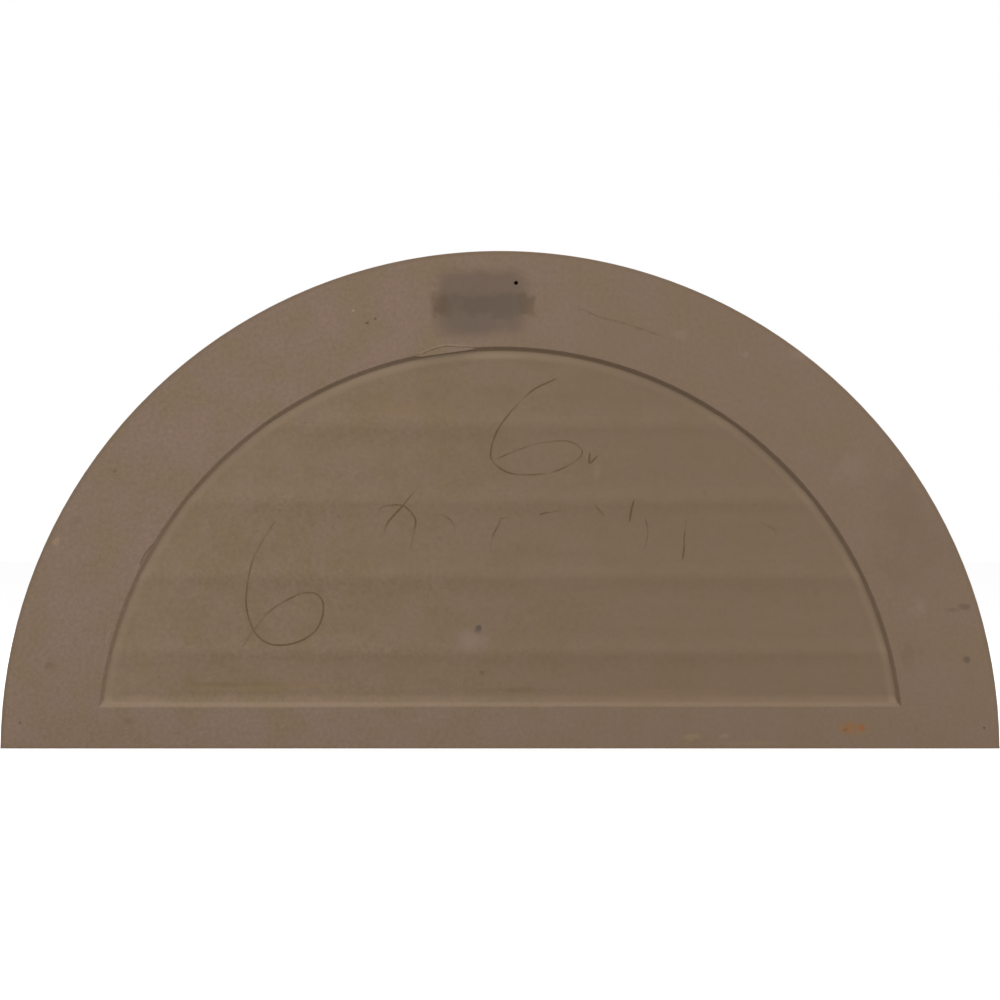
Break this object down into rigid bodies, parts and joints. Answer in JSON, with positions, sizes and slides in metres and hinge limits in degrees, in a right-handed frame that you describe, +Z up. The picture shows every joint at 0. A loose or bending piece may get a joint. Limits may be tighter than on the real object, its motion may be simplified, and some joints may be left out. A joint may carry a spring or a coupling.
{
  "type": "half-round gable vent",
  "caption": "Closed half-round gable vent, moulded whole: flat frame, quarter-round trim and louvres in front, flat back with a shallow recess.",
  "frame": {"origin": "middle of the base's back edge, on the plane of the back that lies on the wall", "axes": "+X along the base, +Y out of the flat back towards the wall, +Z up the arch; the louvred front faces -Y"},
  "size_m": [1.2192, 0.061, 0.6071],
  "materials": {
    "primed_foam": "flat tan factory primer on high-density urethane foam"
  },
  "bodies": {
    "root": {"vent_moulding": "primed_foam"}
  },
  "joints": []
}
